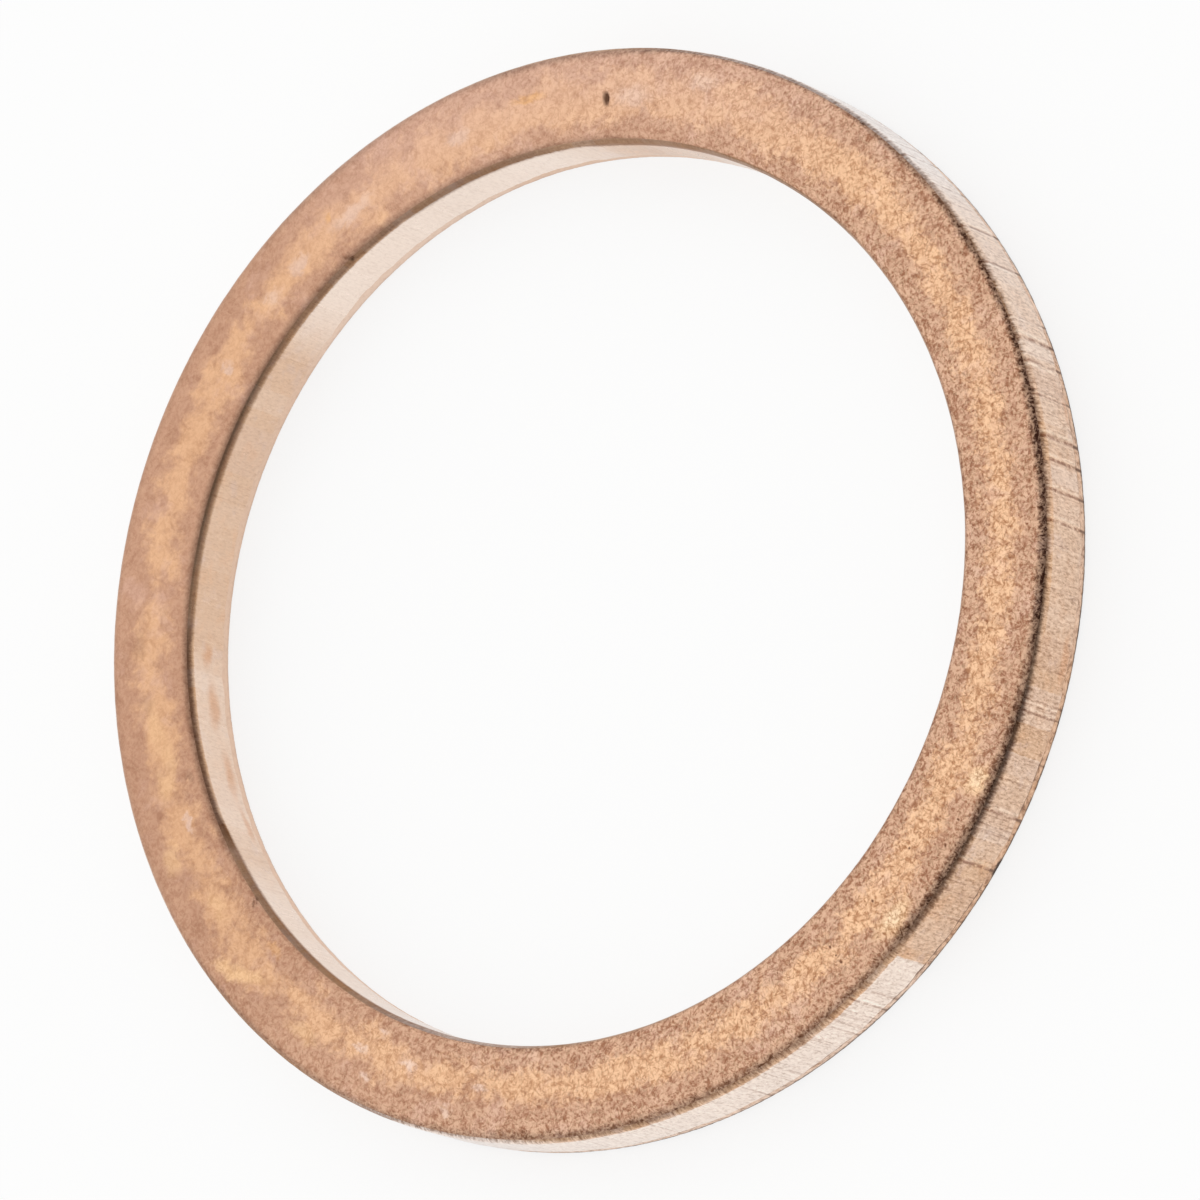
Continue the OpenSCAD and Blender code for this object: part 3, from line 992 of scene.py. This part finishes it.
sealRing = bpy.data.objects.new("copper_ring", ringMesh)
bpy.context.scene.collection.objects.link(sealRing)
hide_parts("seal_ring")
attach(sealRing, "root")
print("ring:", len(ringMesh.vertices), "points and", len(ringMesh.polygons), "faces")

studio = {
    "floor": "#F9F9F8",
    "floorRoughness": 0.9,
    "floorSpecular": 0.2,
    "floorSide": 4.0,
    "floorDrop": 0.00001,  # a hundredth of a millimetre below the ring's base
    "floorGlow": 0.78,  # how much of the floor's white the camera sees without the ring's shadow
    "mirroredGlow": 0.85,  # the same for what the copper mirrors
    "bright": 1.06,
    "dim": 0.3,  # in the patch that the room leaves behind the lens
    "dimTilt": 56,  # degrees from overhead to the middle of that patch
    "dimInner": 14,  # degrees from its middle to where it starts to brighten, and to its end
    "dimOuter": 36,
}
view = {
    "tilt": 35.0,  # degrees between the line of sight and straight down
    "roll": -70.56,  # degrees by which the lens is turned round the ring's axis
    "distance": 0.1912,  # along the line of sight, from the lens to the middle of the crest
    "aside": (-0.000711, 0.000217),  # the middle of the crest in the frame, to the right and up
    "lens": 291.5,  # focal length in millimetres
}

floorMesh = bpy.data.meshes.new("floor")
half = studio["floorSide"] / 2
floorCorners = [(-half, -half, 0), (half, -half, 0), (half, half, 0), (-half, half, 0)]
floorMesh.from_pydata(floorCorners, [], [(0, 1, 2, 3)])
floor = bpy.data.objects.new("floor", floorMesh)
floor.location.z = -studio["floorDrop"]
bpy.context.scene.collection.objects.link(floor)
paper = bpy.data.materials.new("matte white paper")
paper.use_nodes = True
tree = paper.node_tree
shader = tree.nodes["Principled BSDF"]
shader.inputs["Base Color"].default_value = linear(studio["floor"])
shader.inputs["Roughness"].default_value = studio["floorRoughness"]
shader.inputs["Specular IOR Level"].default_value = studio["floorSpecular"]
path = addNode(tree, "ShaderNodeLightPath")
glow = addNode(tree, "ShaderNodeEmission", None, {"Color": (1, 1, 1, 1), "Strength": 1.0})
seen = addNode(tree, "ShaderNodeMath", "MULTIPLY", [path.outputs["Is Camera Ray"], studio["floorGlow"]])
share = addNode(
    tree, "ShaderNodeMath", "MULTIPLY_ADD",
    [path.outputs["Is Glossy Ray"], studio["mirroredGlow"], seen],
)
mixed = addNode(tree, "ShaderNodeMixShader", None, [share, shader, glow])
tree.links.new(mixed.outputs[0], tree.nodes["Material Output"].inputs["Surface"])
floorMesh.materials.append(paper)

world = bpy.data.worlds.new("soft tent")
bpy.context.scene.world = world
world.use_nodes = True
tree = world.node_tree
direction = addNode(tree, "ShaderNodeTexCoord")
dimTilt, dimInner, dimOuter = [math.radians(studio[name]) for name in ("dimTilt", "dimInner", "dimOuter")]
toLens = addNode(
    tree, "ShaderNodeVectorMath", "DOT_PRODUCT",
    [direction.outputs["Generated"], (0, -math.sin(dimTilt), math.cos(dimTilt))],
)
tent = addNode(
    tree, "ShaderNodeMapRange", smoothly,
    [toLens, math.cos(dimOuter), math.cos(dimInner), studio["bright"], studio["dim"]],
)
path = addNode(tree, "ShaderNodeLightPath")
strength = addNode(tree, "ShaderNodeMix", {"data_type": "FLOAT"}, [path.outputs["Is Camera Ray"], tent, 1.0])
background = tree.nodes["Background"]
background.inputs["Color"].default_value = (1, 1, 1, 1)
tree.links.new(strength.outputs[0], background.inputs["Strength"])

camera = bpy.data.objects.new("camera", bpy.data.cameras.new("camera"))
bpy.context.scene.collection.objects.link(camera)
camera.data.lens = view["lens"]
camera.data.clip_start = 0.01
tilted = Matrix.Rotation(math.radians(view["tilt"]), 4, "X")
aimed = tilted @ Matrix.Rotation(math.radians(view["roll"]), 4, "Z")
aimed.translation = Vector((0, 0, high.z)) - aimed.to_3x3() @ Vector((*view["aside"], -view["distance"]))
camera.matrix_world = aimed
bpy.context.scene.camera = camera
bpy.context.scene.view_settings.view_transform = "Standard"
print("stage: floor, tent and camera")
